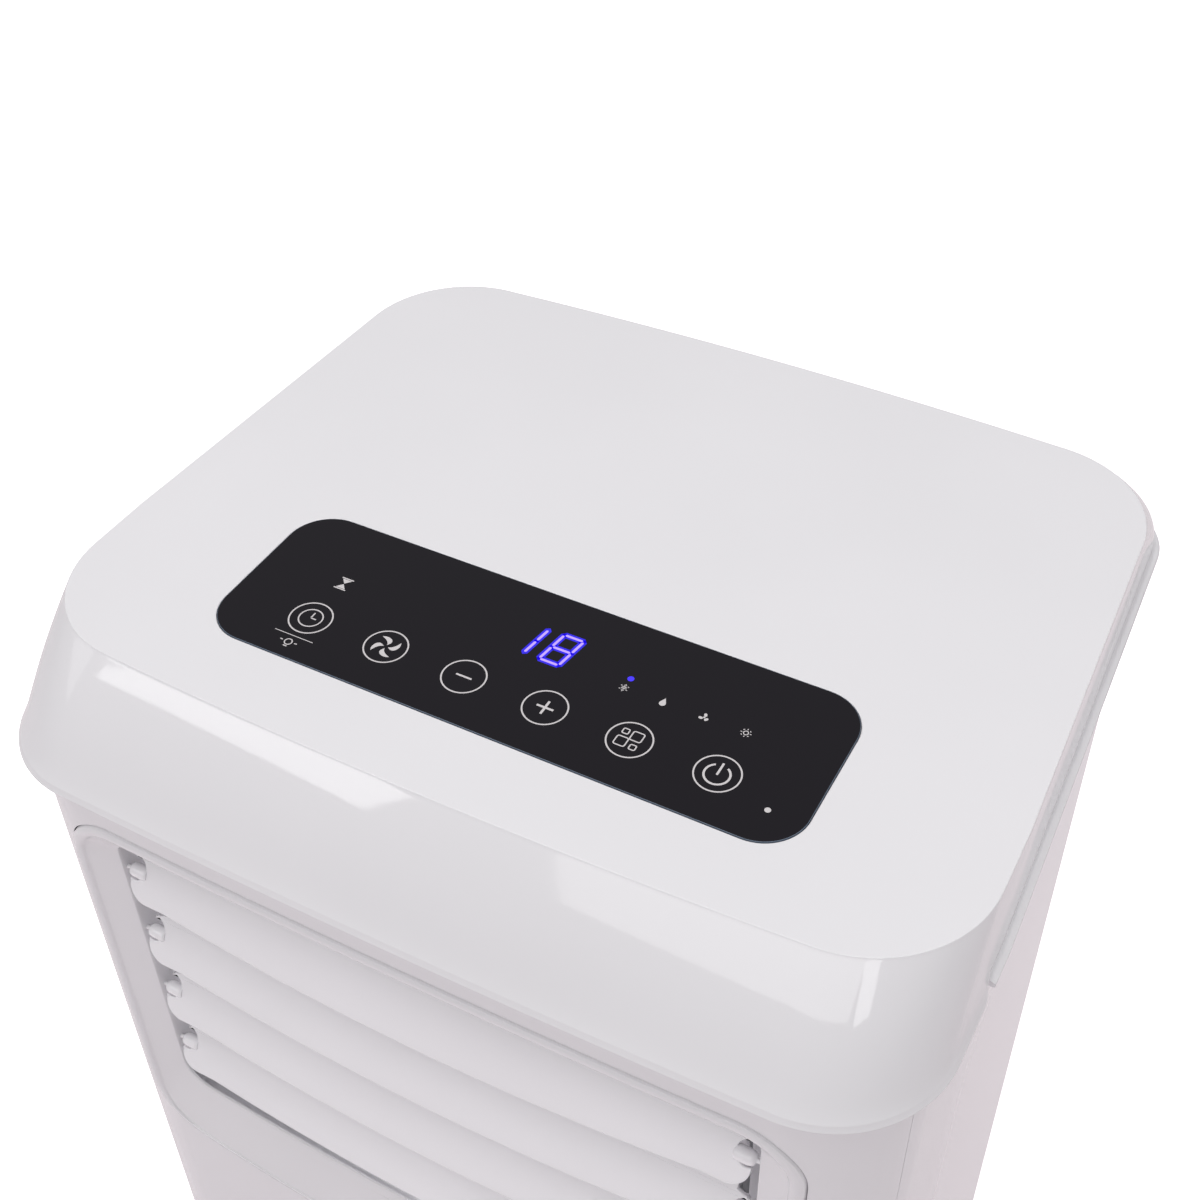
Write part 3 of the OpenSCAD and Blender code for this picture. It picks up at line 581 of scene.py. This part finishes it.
def marks():
    """Signs: snowflake, drop, fan and sun for the modes, an hourglass for the timer, a bulb for the light."""
    k = Ink("mode_signs", ICON)
    y = MARK_Y
    x = 34.0
    for a in (0, 60, 120):
        k.bar((x, y), 0.32, 3.5, 0.1, a)
    for a in range(30, 390, 60):
        r = math.radians(a)
        k.bar((x + 1.15 * math.cos(r), y + 1.15 * math.sin(r)), 0.28, 1.0, 0.1, 180 - a)
    x = 48.4
    around = np.radians(np.linspace(28, -208, 22))
    drop = [(0.0, 2.0)] + [(1.15 * math.cos(t), -0.55 + 1.15 * math.sin(t)) for t in around]
    k.shape([(x + p, y + q) for p, q in drop[::-1]])
    x = 63.2
    k.disc((x, y), 0.42, 16)
    for a in (90, 210, 330):
        r = math.radians(a)
        c = (x + 1.15 * math.cos(r), y + 1.15 * math.sin(r))
        k.bar(c, 1.05, 1.5, 0.5, 114 - a)
    x = 78.0
    k.ring((x, y), 0.98, 0.32, 28)
    for a in range(0, 360, 45):
        r = math.radians(a)
        k.bar((x + 1.62 * math.cos(r), y + 1.62 * math.sin(r)), 0.62, 0.3, 0.1, -a)
    x = -77.4
    for s in (-1, 1):
        k.shape([(x - 1.9, y + s * 2.3), (x + 1.9, y + s * 2.3), (x, y + s * 0.15)][::-s])
        k.bar((x, y + s * 2.75), 4.8, 0.5, 0.1)
    x, y = -77.3, -107.2
    k.bar((x, -103.6), 15.6, 0.3, 0.1)
    k.ring((x, y + 0.35), 1.55, 0.4, 32)
    k.bar((x, y - 1.75), 1.5, 0.45, 0.1)
    for s in (-1, 1):
        k.bar((x + s * 2.9, y + 0.5), 1.1, 0.4, 0.1, s * 8)
    k.object()


def digits():
    """The lit two-digit display, slanted, each bar a bright core in a deep blue glow, and the mode light."""
    digit_w, digit_h, slant = 7.45, 13.85, 2.1
    one_x, eight_x, top_y = -2.63, 3.37, -60.7

    def at(x, u, v):
        return (x + digit_w * u + slant * (0.5 - v), top_y - digit_h * v)

    eight = (
        (0, 0, 1, 0), (0, 0.5, 1, 0.5), (0, 1, 1, 1), (0, 0, 0, 0.5),
        (1, 0, 1, 0.5), (0, 0.5, 0, 1), (1, 0.5, 1, 1),
    )
    bars = [(at(eight_x, u0, v0), at(eight_x, u1, v1)) for u0, v0, u1, v1 in eight]
    bars += [(at(one_x, 0, v0), at(one_x, 0, v1)) for v0, v1 in ((0.02, 0.5), (0.5, 0.99))]

    def strokes(k, width, short):
        for a, b in bars:
            a, b = np.array(a), np.array(b)
            length = float(np.linalg.norm(b - a))
            d = (b - a) / length
            side = np.array([-d[1], d[0]]) * width / 2
            p, q = a + d * short, b - d * short
            tip = d * width * 0.42
            k.shape([p - tip, p - side, q - side, q + tip, q + side, p + side])

    halo = Ink("display_halo", DIGIT_HALO, HALO_Z)
    strokes(halo, 2.6, 0.15)
    halo.object()
    core = Ink("display_digits", DIGIT_CORE, LIGHT_Z)
    strokes(core, 0.95, 0.75)
    core.object()
    led = Ink("mode_led", LED, LIGHT_Z)
    led.disc((34.1, -69.0), 1.15)
    led.object()


icons()
marks()
digits()

# ---------- body shells ----------


BODY_IN = 6.5                      # the body's wall, inwards from the rim
SEAM_FRONT, SEAM_REAR = -141.25, -140.95
LEDGE_Y = -97.0                    # front end of the housing's ledge
FLANGE_IN = 3.4                    # the body's rim under the cover, inwards from the cover's rim


def body_y(x):
    """Y of the body's front surface at x."""
    (fx, fy), fr, bow = RIM[:3]
    x, r = abs(x), fr - BODY_IN
    if x <= fx:
        return fy - r - bow * (1 - (x / fx) ** 2)
    return fy - math.sqrt(max(r * r - (x - fx) ** 2, 0))


def clip(ring, y0, front, n):
    """A closed ring's part in front of or behind y0, ending exactly on it, sampled at n even steps."""
    count = len(ring)
    inside = [(p[1] < y0) == front for p in ring]
    first = next(i for i in range(count) if inside[i] and not inside[i - 1])
    last = first
    while inside[(last + 1) % count]:
        last += 1

    def share(i, j):
        a, b = ring[i % count][1], ring[j % count][1]
        return (y0 - a) / (b - a)

    lo, hi = first - share(first, first - 1), last + share(last, last + 1)
    steps = np.linspace(lo, hi, n)
    base = np.floor(steps).astype(int)
    t = (steps - base)[:, None]
    return ring[base % count] * (1 - t) + ring[(base + 1) % count] * t


def strip(d_out, d_in, y0, front, n):
    """Plan of the wall between two insets of the rim, on one side of y0."""
    out, inn = (clip(outline(RIM, d), y0, front, n) for d in (d_out, d_in))
    return np.vstack([out, inn[::-1]])


def shell(name, y0, front, z0, z1):
    """The body's wall on one side of the seam, with a softened foot and a wider rim at the top."""
    e = 0.35
    m = Mesh()
    count = 150 if front else 190
    levels = [(BODY_IN + e, z0), (BODY_IN + e * 0.3, z0 + e * 0.3), (BODY_IN, z0 + e)]
    levels += [(BODY_IN, z) for z in np.linspace(z0 + 4, z1 - 4, 24)]
    levels += [(BODY_IN, z1 - 3), (FLANGE_IN, z1 - 3), (FLANGE_IN, z1 - 0.3), (FLANGE_IN + 0.3, z1)]
    m.loft([place(strip(d, BODY_IN + WALL, y0, front, count), z) for d, z in levels], cap=True)
    return m.object(name, MATS["shell_white"])


def window(hw, zt, zs, zm, rb, rt):
    """Ring in x and z with half-width hw and a straight top at zt. Its bottom runs from zs at the corners
    down to zm in the middle. rb and rt are the corner radii at the bottom and the top."""
    xc = hw - 0.86 * rb
    a = math.atan(2 * (zs - zm) / xc)
    half = [(xc * t, zm + (zs - zm) * t * t) for t in np.linspace(0, 1, 22, endpoint=False)]
    cx, cz = hw - rb, zs + rb * math.cos(a)
    half += [(cx + rb * math.cos(t), cz + rb * math.sin(t)) for t in np.linspace(a - math.pi / 2, 0, 22)]
    half += [(hw, cz + (zt - rt - cz) * t) for t in np.linspace(0, 1, 14)[1:-1]]
    cx, cz = hw - rt, zt - rt
    half += [(cx + rt * math.cos(t), cz + rt * math.sin(t)) for t in np.linspace(0, math.pi / 2, 20)]
    half += [((hw - rt) * t, zt) for t in np.linspace(1, 0, 22)[1:]]
    return np.array(half + [(-x, z) for x, z in half[-2:0:-1]])


def bezel_line(d):
    """The bezel's outer edge, moved outwards by d."""
    return window(144.1 + d, 640 + d, 440 - d, 431.5 - d, 30 + d, 24 + d)


SLOT_W = 126.9                     # half-width of the slot
SLOT_LINE = window(SLOT_W, 623, 471.2, 462.5, 13, 4)


def prism_y(pts, y0, y1):
    """A cutter with the ring pts of (x, z) between two depths."""
    m = Mesh()
    m.loft([[(x, y, z) for x, z in pts] for y in (y0, y1)], cap=True)
    return m.object("cutter", DARK_GAP)


def front_panel():
    obj = shell("front_panel_shell", SEAM_FRONT, True, 62.5, 658.35)
    cut(obj, [prism_y(bezel_line(0.3), -180, -142)])
    return done(obj, "unit", "shell_white", "front_panel")


front_panel()


SIDE_TAPER = math.radians(2.42)
SIDE_X, SIDE_Y = 168.5, -83        # where the side starts to taper
GRIP_Y, GRIP_Z = 10.0, 607.0
GRIP_W, GRIP_H, GRIP_R = 109.0, 29.0, 7


def on_side(s, pts, depth):
    """The ring pts about the grip's middle, depth outside the tapered side, s = 1 right or -1 left."""
    a = SIDE_TAPER
    middle = Vector((s * (SIDE_X - math.tan(a) * (GRIP_Y - SIDE_Y)), GRIP_Y, GRIP_Z))
    out = Vector((s * math.cos(a), math.sin(a), 0))
    along = Vector((-s * math.sin(a), math.cos(a), 0))
    return [middle + along * p[0] + Vector((0, 0, p[1])) + out * depth for p in pts]


def rear_housing():
    """Sides and back, with the openings for the grips, grilles, exhaust collar, cord gland and drain plug."""
    obj = shell("rear_housing_shell", SEAM_REAR, False, 62.25, 658.4)
    through_back = (143, 150)
    cutters = []
    for s in (-1, 1):
        m = Mesh()
        m.loft([on_side(s, rounded(GRIP_W + 0.6, GRIP_H + 0.6, GRIP_R, 8), d) for d in (-6, 4)], cap=True)
        cutters.append(m.object("cutter", DARK_GAP))
    for z0, z1 in ((475, 640), (80, 285)):
        cutters.append(prism_y(rounded(240, z1 - z0, 2, 4) + (0, (z0 + z1) / 2), *through_back))
    for x, z, r, n in ((45, 375, 68.6, 96), (-105, 340, 8.2, 32), (-100, 440, 5.6, 32)):
        cutters.append(prism_y(circle(x, z, r, n), *through_back))
    cut(obj, cutters)
    return done(obj, "unit", "shell_white", "rear_housing")


rear_housing()


def ledge():
    """The housing's ledge that the cover stands on, behind the cover's bead."""
    m = Mesh()
    prof = ((0.8, 655.5), (0.25, 655.75), (0.05, 656.2), (0.05, 656.9), (0.25, 657.3), (2.8, 658.47))
    m.loft([place(strip(d, 6.7, LEDGE_Y, False, 180), z) for d, z in prof], cap=True)
    return done(m.object("rear_housing_ledge", MATS["shell_white"]), "unit", "shell_white")


ledge()


def base_pan():
    """The pan's softened outside, the step that the body stands on, and its underside."""
    m = Mesh()
    prof = (
        (9.5, 36), (7.6, 36), (6.9, 36.25), (6.55, 36.9), (6.5, 38), (6.5, 50), (6.5, 60.9),
        (6.62, 61.5), (7.0, 61.85), (9.3, 61.85), (9.3, 78), (11.4, 78), (11.4, 49),
    )
    outer = m.loft([place(outline(RIM, d), z) for d, z in prof])
    m.fill(outer[-1])
    under = m.loft([place(outline(RIM, d), z) for d, z in ((9.5, 36), (9.5, 45), (10.5, 46))])
    m.fill(under[-1])
    obj = m.object("base_pan_shell", MATS["shell_white"])
    return done(obj, "unit", "shell_white", "base_pan")


base_pan()


def bosses():
    """The tubes over the castors' stems."""
    prof = ((4.3, 45.6), (8.2, 45.6), (9, 46.4), (9, 60), (8.5, 60.9), (4.3, 60.9))
    for i, (x, y) in enumerate(((-112, -105), (112, -105), (-108, 88), (108, 88))):
        m = Mesh()
        m.loft([place(circle(x, y, r, 48), z) for r, z in prof], loop=True)
        done(m.object("castor_boss_%d" % (i + 1), MATS["shell_white"]), "unit", "shell_white")


bosses()


def grips():
    """Hand-grip cups. Each section is widened by e and lies d outside the side."""
    inside = (
        (3.2, 0.1), (3.2, 0.5), (2.7, 0.95), (1.6, 1.1), (0.2, 1.0),
        (-0.8, 0.2), (-1.5, -1.5), (-2.3, -21), (-3.2, -23.2), (-5.5, -24),
    )
    outside = ((3.2, 0.1), (0.0, 0.1), (0.0, -2), (-0.5, -26.4))

    def section(s, e, d):
        return on_side(s, rounded(GRIP_W + 2 * e, GRIP_H + 2 * e, GRIP_R + e, 10), d)

    for s, name in ((-1, "left"), (1, "right")):
        m = Mesh()
        for prof in (inside, outside):
            made = m.loft([section(s, e, d) for e, d in prof])
            m.bm.faces.new(made[-1])
        done(m.object("%s_hand_grip" % name, MATS["shell_white"]), "unit", "shell_white", "%s_grip" % name)


grips()

# ---------- louver outlet ----------


SLOT_Y = -160.9                    # depth of the slot's edge
DUCT_Y = -140.2                    # rear end of the bezel's duct


def band_share(z):
    """The bezel's rounded outer band is broad at the sides and top (1) and fades out along the bottom (0)."""
    t = min(max((z - 436.0) / 34.0, 0.0), 1.0)
    return t * t * (3 - 2 * t)


def bezel():
    """Outer band that stands out a little, funnel down to the slot, and the duct behind it."""
    m = Mesh()
    outer, thin, inner = bezel_line(0), bezel_line(-1.0), bezel_line(-5.6)
    slot = SLOT_LINE
    duct_in = window(SLOT_W, 636, 461.8, 461.7, 1.5, 1.5)
    duct_out = window(130.3, 639, 458.6, 458.5, 1.5, 1.5)
    share = np.array([band_share(z) for z in outer[:, 1]])
    band = thin + (inner - thin) * share[:, None]

    def at(pts, y):
        """Ring at one depth."""
        return [(x, y, z) for x, z in pts]

    def on_body(pts, lift):
        """Ring that follows the body's bowed front, each point set back by its own lift."""
        return [(x, body_y(x) + dy, z) for (x, z), dy in zip(pts, np.broadcast_to(lift, len(pts)))]

    rings = [at(outer, -163.0), on_body(outer, 0.5), on_body(outer + (thin - outer) * 0.18, 0.12)]
    for t, rise in ((0.06, -0.8), (0.18, -1.35), (0.35, -1.65), (0.55, -1.6), (0.75, -1.1), (0.9, -0.35)):
        rings.append(on_body(outer + (band - outer) * t, rise * share))
    for t, drop in ((0.96, 0.25), (1.02, 0.62)):
        rings.append(on_body(outer + (band - outer) * t, drop))
    lip_y = np.array([body_y(x) + 0.75 for x in band[:, 0]])
    for t in (0.08, 0.3, 0.6, 0.9):
        depth = lip_y + (SLOT_Y - lip_y) * t
        rings.append([(x, y, z) for (x, z), y in zip(band + (slot - band) * t, depth)])
    rings += [
        at(slot + (band - slot) * 0.02, SLOT_Y + 0.05), at(slot, SLOT_Y + 0.5), at(slot, SLOT_Y + 1.3),
        at(duct_in, SLOT_Y + 1.3), at(duct_in, DUCT_Y), at(duct_out, DUCT_Y),
        at(duct_out, -162.0), at(outer, -162.3),
    ]
    m.loft(rings, loop=True)
    obj = m.object("louver_bezel_frame", MATS["shell_white"], 28)
    return done(obj, "unit", "shell_white", "louver_bezel")


bezel()


def duct_lining():
    """The light walls and the narrow frame that the slot opens into, behind the blades' reach."""
    m = Mesh()
    wall = window(SLOT_W - 0.1, 635.9, 461.9, 461.8, 1.5, 1.5)
    back = window(SLOT_W + 0.9, 636.9, 460.9, 460.8, 1.5, 1.5)
    lip = window(113.5, 631, 466, 465.9, 4, 4)
    start, lip_y = DUCT_Y + 0.05, -131.5
    rings = [(wall, start), (wall, lip_y - 1), (lip, lip_y), (lip, lip_y + 1), (back, lip_y + 1)]
    rings.append((back, start))
    m.loft([[(x, y, z) for x, z in ring] for ring, y in rings], loop=True)
    obj = m.object("louver_duct_lining", MATS["inner_white"], 28)
    return done(obj, "unit", "inner_white")


duct_lining()
PIVOT_Y, PIVOT_Z, PITCH = -158.4, 608.5, 36.24
LOUVERS, TILT = 4, math.radians(28)
CRANK_Y, CRANK_Z = 11.0, -5.9      # the link's pin, from the pivot
# The blade's section at its edge: inwards from the outline, across the thickness.
BLADE_EDGE = (
    (0.9, -1.0), (0.68, -1.12), (0.42, -1.14), (0.16, -0.98),
    (0.0, -0.6), (0.0, 0.4), (0.3, 0.84), (0.75, 1.0),
)
# The end pins, turned about X: distance from the middle, radius.
PEG = (
    (117.5, 0.01), (117.5, 2.2), (118.0, 2.65), (118.6, 2.8),
    (122.8, 2.8), (124.0, 2.55), (124.9, 2.0), (125.3, 0.9),
)
PIN_RIGHT = ((130.4, 0.9), (130.4, 0.01))
PIN_LEFT = ((131.2, 0.9), (131.2, 3.2), (133.6, 3.2), (133.6, 0.01))
CRANK_PIN = ((-133, 1.5), (-136.6, 1.5), (-136.8, 1.2))


def blade_half():
    """Right half of the blade's outline, from the bottom edge round to the top edge."""
    pts = [(x, -18.5 + 5.8 * (x / 105) ** 2) for x in np.linspace(6, 108, 20)]
    pts += [(116.4 + 8 * math.cos(a), -4.4 + 8 * math.sin(a)) for a in np.linspace(-math.pi / 2, 0, 12)]
    pts += [(124.4, -3.2)]
    notch = np.radians(np.linspace(-100, -268, 16))
    pts += [(123.4 + 5.3 * math.cos(a), 1.5 + 5.3 * math.sin(a)) for a in notch]
    pts += [(118.2, 8.5), (118.2, 22.4), (117.6, 24.5), (116.4, 25.8), (114.5, 26.3)]
    pts += [(x, 24.5 + 1.8 * (x / 110) ** 2) for x in np.linspace(104, 10, 10)]
    return pts


def louver(i):
    """One blade with its end pins and, on the left, the crank that the link bar drives."""
    half = blade_half()
    ring = np.array([(0.0, -18.5)] + half + [(0.0, 24.5)] + [(-x, v) for x, v in half[::-1]])
    along = np.roll(ring, -1, axis=0) - np.roll(ring, 1, axis=0)
    inward = np.column_stack([-along[:, 1], along[:, 0]]) / np.linalg.norm(along, axis=1)[:, None]
    m = Mesh()
    m.loft([[(x, w, v) for x, v in ring + inward * d] for d, w in BLADE_EDGE], cap=True)
    for v in np.arange(-15, 24, 3.0):
        g = m.bm.verts[:] + m.bm.edges[:] + m.bm.faces[:]
        bmesh.ops.bisect_plane(m.bm, geom=g, plane_co=(0, 0, v * MM), plane_no=(0, 0, 1))
    for vert in m.bm.verts:
        v = vert.co.z / MM
        vert.co.y += (0.0035 * (v - 3) ** 2 - 0.3) * MM
    turn = Matrix.Rotation(-TILT, 3, "X")
    for vert in m.bm.verts:
        vert.co = turn @ vert.co
    for s, end in ((-1, PIN_LEFT), (1, PIN_RIGHT)):
        m.loft([[(s * x, y, z) for y, z in circle(0, 0, r, 32)] for x, r in PEG + end], cap=True)
    ny, nz = np.array([-CRANK_Z, CRANK_Y]) / math.hypot(CRANK_Y, CRANK_Z)
    arm = [(ny * 3.1, nz * 3.1), (CRANK_Y + ny * 2.6, CRANK_Z + nz * 2.6)]
    for q in range(9):
        a = math.atan2(nz, ny) - math.pi * q / 8
        arm.append((CRANK_Y + 3 * math.cos(a), CRANK_Z + 3 * math.sin(a)))
    arm.append((-ny * 3.1, -nz * 3.1))
    m.loft([[(x, y, z) for y, z in arm] for x in (-131.3, -133.6)], cap=True)
    m.loft([[(x, y, z) for y, z in circle(CRANK_Y, CRANK_Z, r, 24)] for x, r in CRANK_PIN], cap=True)
    bmesh.ops.translate(m.bm, verts=m.bm.verts, vec=Vector((0, PIVOT_Y, PIVOT_Z - PITCH * i)) * MM)
    name = "louver_%d" % (i + 1)
    obj = m.object(name + "_blade", MATS["louver_white"], 40)
    return done(obj, name, "louver_white", name)


for i in range(LOUVERS):
    louver(i)

# ---------- carried-over CAD pieces ----------

WELD_DIST, EDGE_R, EDGE_ANGLE = 0.00002, 0.0003, math.radians(50)
slots = {s["node"]: s["material_slot"] for s in frame["record"]["subparts"]}
for name, obj in frame["nodes"].items():
    if obj.hide_render:
        continue
    obj.data.materials.clear()
    obj.data.materials.append(MATS[slots[name]])
    weld = obj.modifiers.new("weld", "WELD")
    weld.merge_threshold = WELD_DIST
    soft = obj.modifiers.new("soft", "BEVEL")
    soft.width, soft.segments = EDGE_R, 2
    soft.limit_method, soft.angle_limit = "ANGLE", EDGE_ANGLE
    even = obj.modifiers.new("even", "WEIGHTED_NORMAL")
    even.keep_sharp = True

# ---------- stage and light ----------

SKY = 0.26                         # strength of the surroundings
FLOOR_GLOW, FLOOR_TINT = 0.12, (1.0, 0.86, 0.92)
CENTRE = (0, -0.1, 0.6)            # what the lights point at


def stage():
    """Pale floor that looks plain white, and throws a little warm light up at the object."""
    mesh = bpy.data.meshes.new("floor")
    s = 6.0
    mesh.from_pydata([(-s, -s, 0), (s, -s, 0), (s, s, 0), (-s, s, 0)], [], [(0, 1, 2, 3)])
    floor = bpy.data.objects.new("floor", mesh)
    scene.collection.objects.link(floor)
    m = Nodes("floor_white")
    m.bsdf.inputs["Base Color"].default_value = (0.9, 0.84, 0.87, 1)
    m.bsdf.inputs["Roughness"].default_value = 0.9
    m.bsdf.inputs["Specular IOR Level"].default_value = 0.0
    seen = m.add("ShaderNodeLightPath").outputs["Is Camera Ray"]
    m.link(m.mix(seen, FLOOR_TINT, (1.0, 1.0, 1.0)), m.bsdf.inputs["Emission Color"])
    m.link(m.span(seen, 0, 1, FLOOR_GLOW, 0.8), m.bsdf.inputs["Emission Strength"])
    mesh.materials.append(m.mat)


def softbox(name, azimuth, elevation, distance, w, h, power, target=CENTRE):
    """Area light, seen from the target at an azimuth (from the front towards +X) and an elevation."""
    a, e = math.radians(azimuth), math.radians(elevation)
    way = Vector((math.sin(a) * math.cos(e), -math.cos(a) * math.cos(e), math.sin(e)))
    data = bpy.data.lights.new(name, "AREA")
    data.shape, data.size, data.size_y, data.energy = "RECTANGLE", w, h, power
    obj = bpy.data.objects.new(name, data)
    scene.collection.objects.link(obj)
    obj.location = Vector(target) + way * distance
    obj.rotation_mode = "QUATERNION"
    obj.rotation_quaternion = (-way).to_track_quat("-Z", "Y")
    obj.visible_camera = False


def sky():
    """Dim, even surroundings that light the object, shown as plain white behind it."""
    world = bpy.data.worlds.new("world")
    scene.world = world
    world.use_nodes = True
    tree = world.node_tree
    back = tree.nodes["Background"]
    back.inputs["Color"].default_value = (1.0, 1.0, 1.0, 1)
    path = tree.nodes.new("ShaderNodeLightPath")
    level = tree.nodes.new("ShaderNodeMapRange")
    level.inputs["To Min"].default_value = SKY
    level.inputs["To Max"].default_value = 1.0
    tree.links.new(path.outputs["Is Camera Ray"], level.inputs["Value"])
    tree.links.new(level.outputs["Result"], back.inputs["Strength"])


stage()
sky()
softbox("left_box", -37.5, 33, 2.2, 0.62, 0.62, 4.2)
softbox("right_box", 38, 31, 2.2, 0.3, 0.62, 1.9)
softbox("front_box", 6, 39, 2.8, 2.2, 1.2, 14.8)
softbox("left_fill", -72, 28, 2.8, 1.6, 1.6, 6.7)
softbox("side_box", 98, 35, 2.6, 1.6, 1.6, 6)
softbox("ledge_box", 150, 40, 2.6, 1.2, 1.0, 4.5)
softbox("top_box", 180, 88, 1.75, 2.0, 2.0, 18)
softbox("back_box", 205, 12, 3.0, 1.8, 1.6, 9)
softbox("duct_fill", 0, 0, 0.02, 0.19, 0.14, 0.16, (0, -0.104, 0.548))
scene.view_settings.view_transform = "Standard"
scene.view_settings.look = "None"
